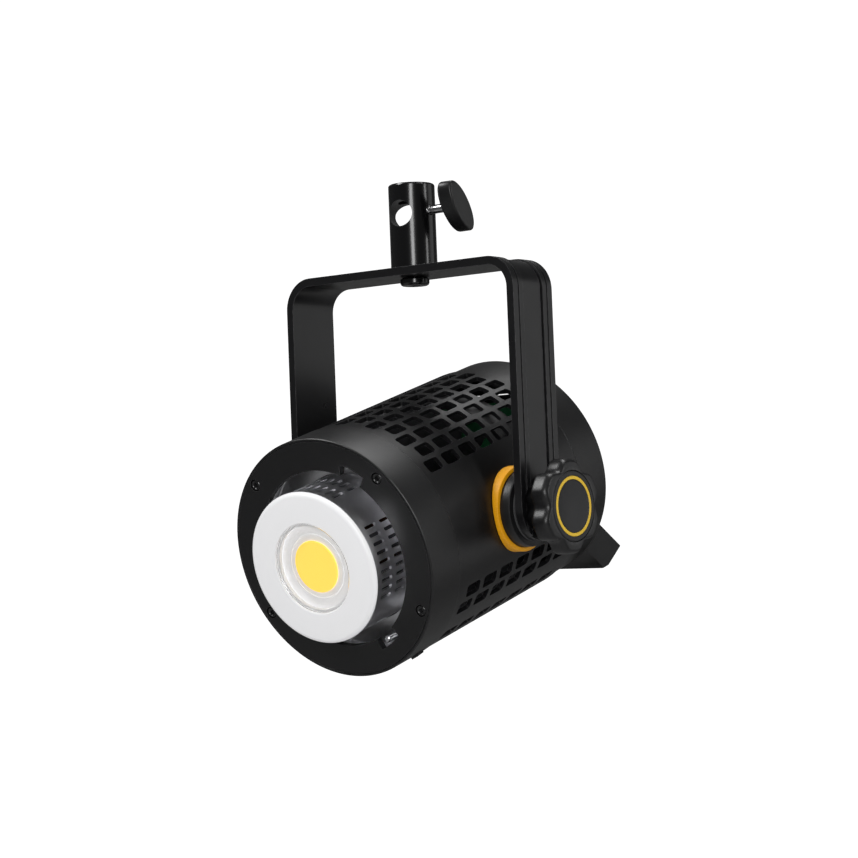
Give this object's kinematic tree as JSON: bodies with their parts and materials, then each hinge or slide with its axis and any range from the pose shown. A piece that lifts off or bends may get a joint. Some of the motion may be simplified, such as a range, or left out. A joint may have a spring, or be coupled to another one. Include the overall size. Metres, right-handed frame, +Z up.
{
  "type": "open-face led studio light",
  "caption": "Round perforated studio light with an open-face lamp module and bayonet front, hung in a U yoke with a tilt knob and a clamped spigot receiver.",
  "frame": {"origin": "centre of the receiver mouth, where the stand spigot enters", "axes": "+Z up out of the receiver, the lamp shines towards -Y, the tilt axis and the knob lie along +X"},
  "size_m": [0.1993, 0.2471, 0.2854],
  "materials": {
    "satin_black": "satin, fine grain",
    "gloss_black": "gloss",
    "black_plastic": "satin",
    "cap_grey": "satin",
    "steel": "bright",
    "aluminium": "polished",
    "dark_aluminium": "black anodised",
    "yellow": "satin",
    "white": "satin white",
    "glass": "clear",
    "phosphor": "matt",
    "copper": "bare",
    "circuit_green": "lacquered",
    "varnish": "varnished",
    "washer": "matt"
  },
  "bodies": {
    "yoke": {"yoke": "satin_black", "receiver_tube": "gloss_black", "receiver_bolt": "gloss_black"},
    "clamp_screw": {"clamp_screw": "steel"},
    "clamp_handle": {"clamp_handle": "black_plastic"},
    "head": {"front_plate": "satin_black", "bezel_ring": "satin_black", "housing": "satin_black", "rear_cap": "satin_black", "foot": "satin_black", "pivot_boss_left": "satin_black", "pivot_boss_right": "satin_black", "left_pivot_bolt": "satin_black", "display_window": "gloss_black", "plate_screw_1": "gloss_black", "plate_screw_2": "gloss_black", "plate_screw_3": "gloss_black", "plate_screw_4": "gloss_black", "rear_panel": "black_plastic", "mains_inlet": "black_plastic", "fan_frame": "black_plastic", "capacitor": "black_plastic", "mount_spring_1": "steel", "mount_spring_2": "steel", "mount_spring_3": "steel", "led_barrel": "aluminium", "mount_ring": "aluminium", "heat_spreader": "aluminium", "heatsink": "dark_aluminium", "pivot_ring_left": "yellow", "pivot_ring_right": "yellow", "led_front_ring": "white", "cob_board": "white", "front_glass": "glass", "cob_emitter": "phosphor", "heat_pipe_1": "copper", "heat_pipe_2": "copper", "heat_pipe_3": "copper", "heat_pipe_4": "copper", "driver_board": "circuit_green", "control_board": "circuit_green", "transformer": "varnish", "friction_washer_left": "washer", "friction_washer_right": "washer"},
    "tilt_bolt": {"tilt_bolt": "steel"},
    "tilt_knob": {"tilt_knob": "black_plastic", "knob_cap": "cap_grey", "knob_ring": "yellow"},
    "lock": {"lock_pin": "steel", "release_slider": "black_plastic"},
    "fan": {"fan_rotor": "black_plastic"},
    "brightness_dial": {"brightness_dial": "black_plastic"},
    "mode_dial": {"mode_dial": "black_plastic"},
    "button_1": {"button_1": "black_plastic"},
    "button_2": {"button_2": "black_plastic"},
    "button_3": {"button_3": "black_plastic"},
    "power_rocker": {"power_rocker": "black_plastic"}
  },
  "joints": [
    {"name": "clamp_feed", "type": "slide", "parent": "yoke", "child": "clamp_screw", "axis": [1, 0, 0], "range_m": [-0.0038, 0.0019]},
    {"name": "clamp_turn", "type": "hinge", "parent": "clamp_screw", "child": "clamp_handle", "pos_m": [0, 0, -0.0165], "axis": [1, 0, 0], "range_deg": [-1080, 540]},
    {"name": "head_tilt", "type": "hinge", "parent": "yoke", "child": "head", "pos_m": [0, 0, -0.1939], "axis": [1, 0, 0], "range_deg": [-136, 84]},
    {"name": "tilt_bolt_feed", "type": "slide", "parent": "head", "child": "tilt_bolt", "axis": [1, 0, 0], "range_m": [0, 0.0026]},
    {"name": "tilt_knob_turn", "type": "hinge", "parent": "tilt_bolt", "child": "tilt_knob", "pos_m": [0, 0, -0.1939], "axis": [1, 0, 0], "range_deg": [0, 720]},
    {"name": "lock_release", "type": "slide", "parent": "head", "child": "lock", "axis": [0, 0.9604, 0.2787], "range_m": [0, 0.004], "stiffness_N_per_m": 600, "springref_m": -0.003},
    {"name": "fan_spin", "type": "hinge", "parent": "head", "child": "fan", "pos_m": [0, 0.03553, -0.18359], "axis": [0, 0.9604, 0.2787], "continuous": true},
    {"name": "brightness_turn", "type": "hinge", "parent": "head", "child": "brightness_dial", "pos_m": [-0.031, 0.08955, -0.17416], "axis": [0, 0.9604, 0.2787], "continuous": true},
    {"name": "mode_turn", "type": "hinge", "parent": "head", "child": "mode_dial", "pos_m": [0.031, 0.08955, -0.17416], "axis": [0, 0.9604, 0.2787], "continuous": true},
    {"name": "button_1_press", "type": "slide", "parent": "head", "child": "button_1", "axis": [0, -0.9604, -0.2787], "range_m": [0, 0.0012], "stiffness_N_per_m": 400, "springref_m": -0.001},
    {"name": "button_2_press", "type": "slide", "parent": "head", "child": "button_2", "axis": [0, -0.9604, -0.2787], "range_m": [0, 0.0012], "stiffness_N_per_m": 400, "springref_m": -0.001},
    {"name": "button_3_press", "type": "slide", "parent": "head", "child": "button_3", "axis": [0, -0.9604, -0.2787], "range_m": [0, 0.0012], "stiffness_N_per_m": 400, "springref_m": -0.001},
    {"name": "power_rock", "type": "hinge", "parent": "head", "child": "power_rocker", "pos_m": [0, 0.08922, -0.17843], "axis": [1, 0, 0], "range_deg": [0, 16]}
  ],
  "couplings": [
    {"joint": "clamp_feed", "follows": "clamp_turn", "m_per_rad": 0.00019894},
    {"joint": "tilt_bolt_feed", "follows": "tilt_knob_turn", "m_per_rad": 0.00019894}
  ]
}
